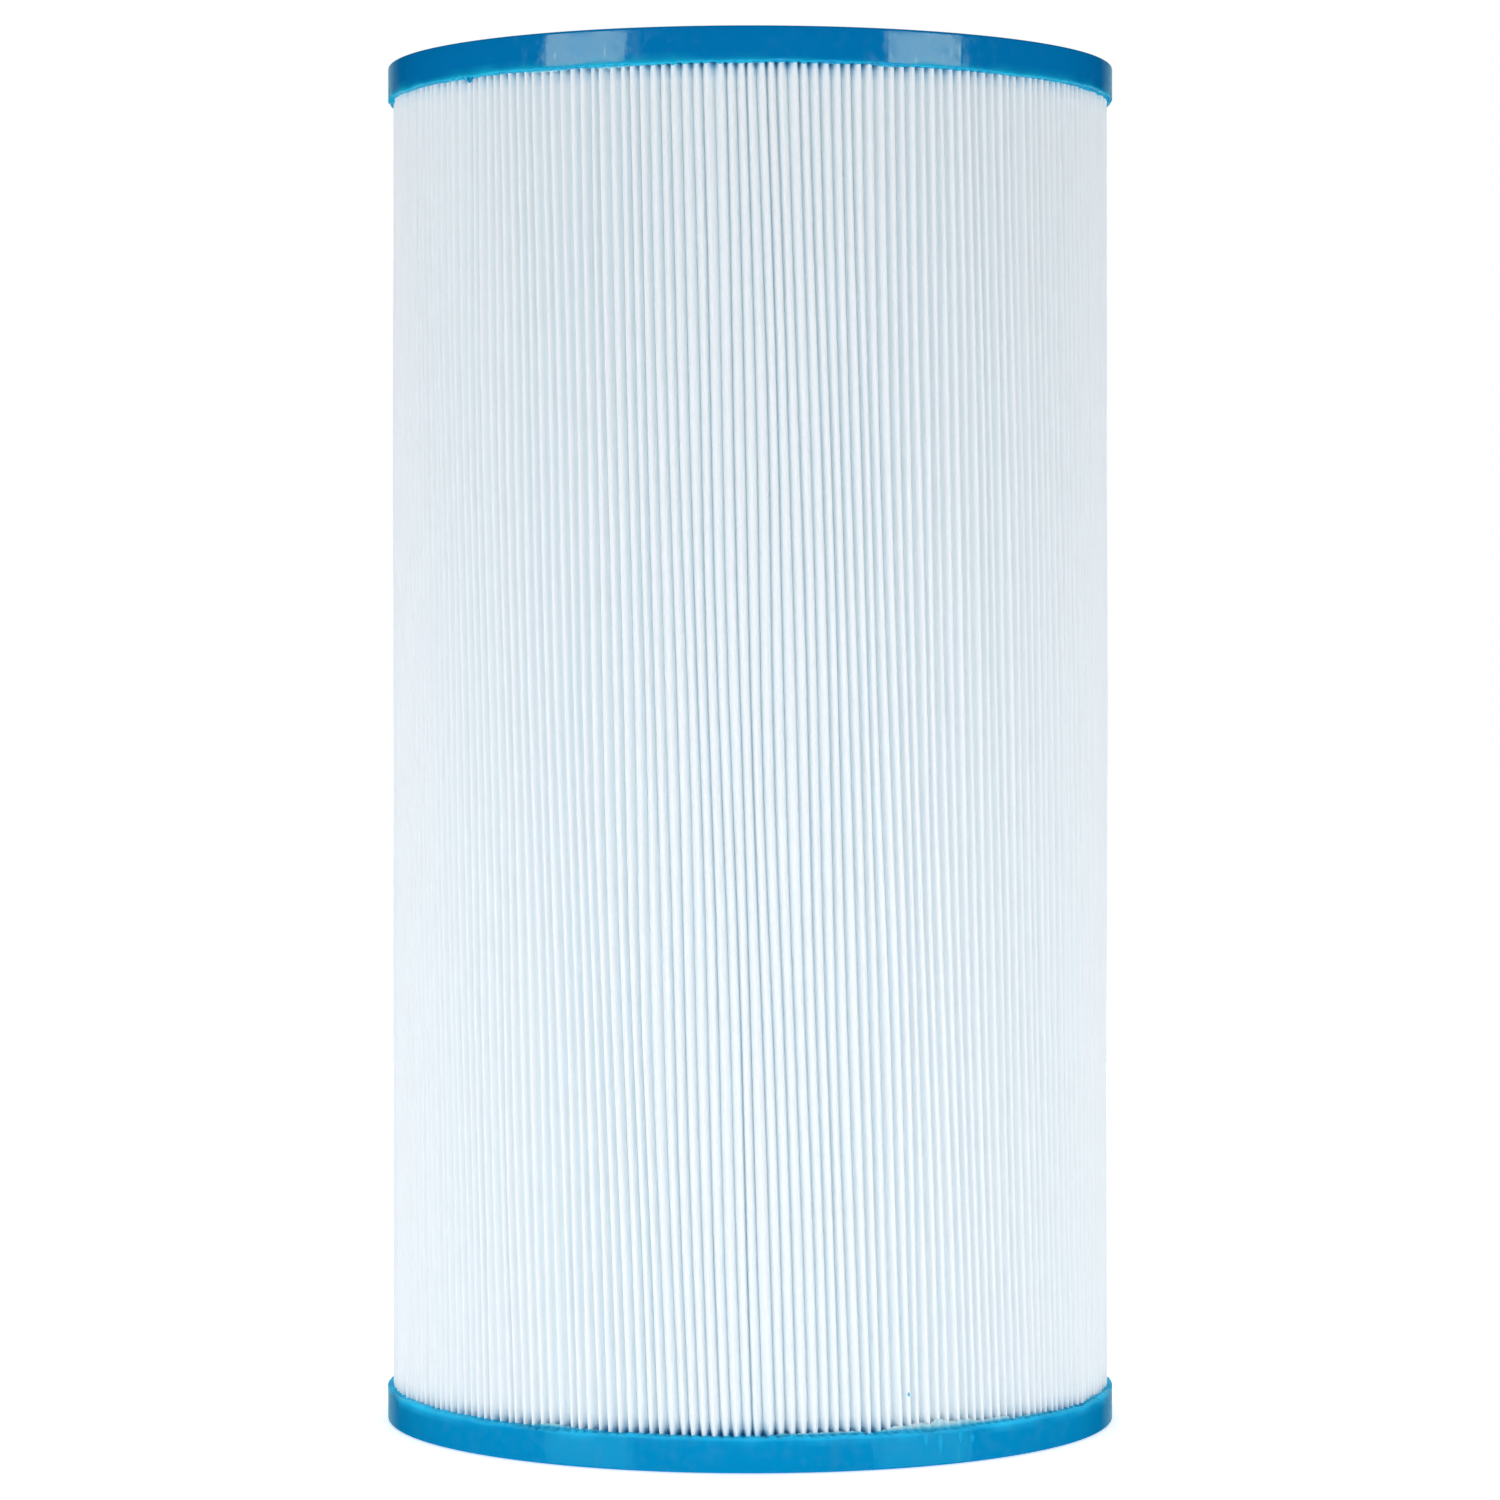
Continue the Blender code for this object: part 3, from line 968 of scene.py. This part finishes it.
def panel(name, degrees, distance, height, width, tall, colour, strength):
    """A panel that shows in the caps' gloss only, as a softbox's front does."""
    bm = bmesh.new()
    bmesh.ops.create_grid(bm, x_segments=1, y_segments=1, size=0.5)
    mesh = finished(bm, name)
    obj = put_in_scene(name, mesh)
    facing_axis(obj, degrees, distance, height, aim=height)
    obj.scale = (width, tall, 1)
    material = bpy.data.materials.new(name)
    material.use_nodes = True
    material.node_tree.nodes.remove(material.node_tree.nodes["Principled BSDF"])
    glow = material.node_tree.nodes.new("ShaderNodeEmission")
    glow.inputs["Color"].default_value = (*colour, 1.0)
    glow.inputs["Strength"].default_value = strength
    surface = material.node_tree.nodes["Material Output"].inputs["Surface"]
    material.node_tree.links.new(glow.outputs["Emission"], surface)
    mesh.materials.append(material)
    obj.visible_camera = False
    obj.visible_diffuse = False
    obj.visible_shadow = False
    obj.visible_transmission = False


def world():
    """Weak light from all round, stronger on one side, and a white backdrop.

    What shines in the caps' gloss is apart: dark on the camera's side, and white behind the cartridge.
    """
    made = bpy.data.worlds.new("studio")
    bpy.context.scene.world = made
    made.use_nodes = True
    made.cycles.sampling_method = "NONE"
    nodes = made.node_tree.nodes
    links = made.node_tree.links
    path = nodes.new("ShaderNodeLightPath")
    toward = nodes.new("ShaderNodeTexCoord").outputs["Generated"]
    turned = nodes.new("ShaderNodeMapping")
    turned.inputs["Rotation"].default_value = (KEY_TILT, 0, KEY_AZIMUTH)
    links.new(toward, turned.inputs["Vector"])
    from_key = nodes.new("ShaderNodeSeparateXYZ")
    links.new(turned.outputs["Vector"], from_key.inputs[0])
    straight = nodes.new("ShaderNodeSeparateXYZ")
    links.new(toward, straight.inputs[0])

    def background(colour, across=None, span=(0, 1), strengths=(1, 1)):
        """One colour, whose strength may follow a direction's Y part."""
        shader = nodes.new("ShaderNodeBackground")
        shader.inputs["Color"].default_value = (*colour, 1.0)
        if across:
            ramp = nodes.new("ShaderNodeMapRange")
            ramp.inputs["From Min"].default_value = span[0]
            ramp.inputs["From Max"].default_value = span[1]
            ramp.inputs["To Min"].default_value = strengths[0]
            ramp.inputs["To Max"].default_value = strengths[1]
            links.new(across.outputs["Y"], ramp.inputs["Value"])
            links.new(ramp.outputs["Result"], shader.inputs["Strength"])
        return shader.outputs[0]

    def choose(ray, no, yes):
        """One shader for a kind of ray and another for the rest."""
        mix = nodes.new("ShaderNodeMixShader")
        links.new(path.outputs[ray], mix.inputs[0])
        links.new(no, mix.inputs[1])
        links.new(yes, mix.inputs[2])
        return mix.outputs[0]

    light = background((0.95, 0.975, 1.0), from_key, (-1.0, 0.0), AMBIENT)
    gloss = background((0.50, 0.90, 1.0), straight, (0.84, 1.0), (0.0, 0.62))
    backdrop = background((1.0, 1.0, 1.0))
    shown = choose("Is Camera Ray", choose("Is Glossy Ray", light, gloss), backdrop)
    links.new(shown, nodes["World Output"].inputs["Surface"])


def studio():
    """The floor, the backdrop and all the lights."""
    floor()
    world()
    for name, place in LAMPS.items():
        lamp(name, *place)
    for name, place in PANELS.items():
        panel(name, *place)
    from_above()


def from_above():
    """Light straight down, which evens out the floor and leaves the cartridge's side alone."""
    light = bpy.data.lights.new("from_above", "SUN")
    light.energy = SUN_POWER
    light.angle = 0.05
    obj = put_in_scene("from_above", light)
    obj.visible_glossy = False
    obj.location.z = 2.0


def camera():
    """The photographer's camera, level, with its lens shifted to frame the cartridge."""
    data = bpy.data.cameras.new("camera")
    data.lens = CAMERA_LENS
    data.sensor_width = CAMERA_SENSOR
    data.shift_x, data.shift_y = CAMERA_SHIFT
    obj = put_in_scene("camera", data)
    stand = Matrix.Translation((0, -CAMERA_DISTANCE, CAMERA_HEIGHT))
    obj.matrix_world = stand @ Matrix.Rotation(pi / 2, 4, "X")
    bpy.context.scene.camera = obj


def resin_drops(top_blue, bottom_blue, film):
    """The drip under the top skirt, the runs down the bottom one and the speck on the sheet."""
    azimuth, below_rim, *size = DRIP
    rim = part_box("top_end_cap")[0].z
    resin_bead("resin_drip", top_blue, DRIP_RADIUS, azimuth, rim + below_rim, *size)
    for number, place in enumerate(RUNS, start=1):
        resin_bead(f"resin_run_{number}", bottom_blue, CAP_RADIUS, *place)
    resin_bead("resin_speck", film, CREST_RADIUS - 0.0001, *SPECK)


def main():
    bpy.context.scene.cycles.diffuse_bounces = DIFFUSE_BOUNCES
    camera()
    studio()
    bpy.context.scene.view_settings.view_transform = "Standard"
    heights, crests, roots = pleat_lines()
    pleated_sheet(spunbond(), heights, crests, roots)
    seam_bead(hot_melt(), heights, crests)
    plastic = core_plastic()
    for number in range(1, SECTIONS + 1):
        core_section(number, plastic)
    # One resin in two materials: the top one's colours are painted shade, the bottom one's painted light
    # and glow
    top_blue = urethane("blue_urethane_top", *TOP_RESIN_SHADED)
    bottom_blue = urethane("blue_urethane_bottom", *BOTTOM_RESIN_LIT)
    film = resin_film_finish()
    radii = crest_radii(heights)
    end_cap("bottom_cap_casting", "bottom_end_cap", bottom_blue, crests[0], False, SEED + 3)
    end_cap("top_cap_casting", "top_end_cap", top_blue, crests[-1], True, SEED + 4)
    resin_film("bottom_resin_film", film, crests[1], radii[1], False, SEED + 5, SPILLS_BOTTOM)
    resin_film("top_resin_film", film, crests[-2], radii[-2], True, SEED + 6, SPILLS_TOP)
    resin_drops(top_blue, bottom_blue, film)


main()
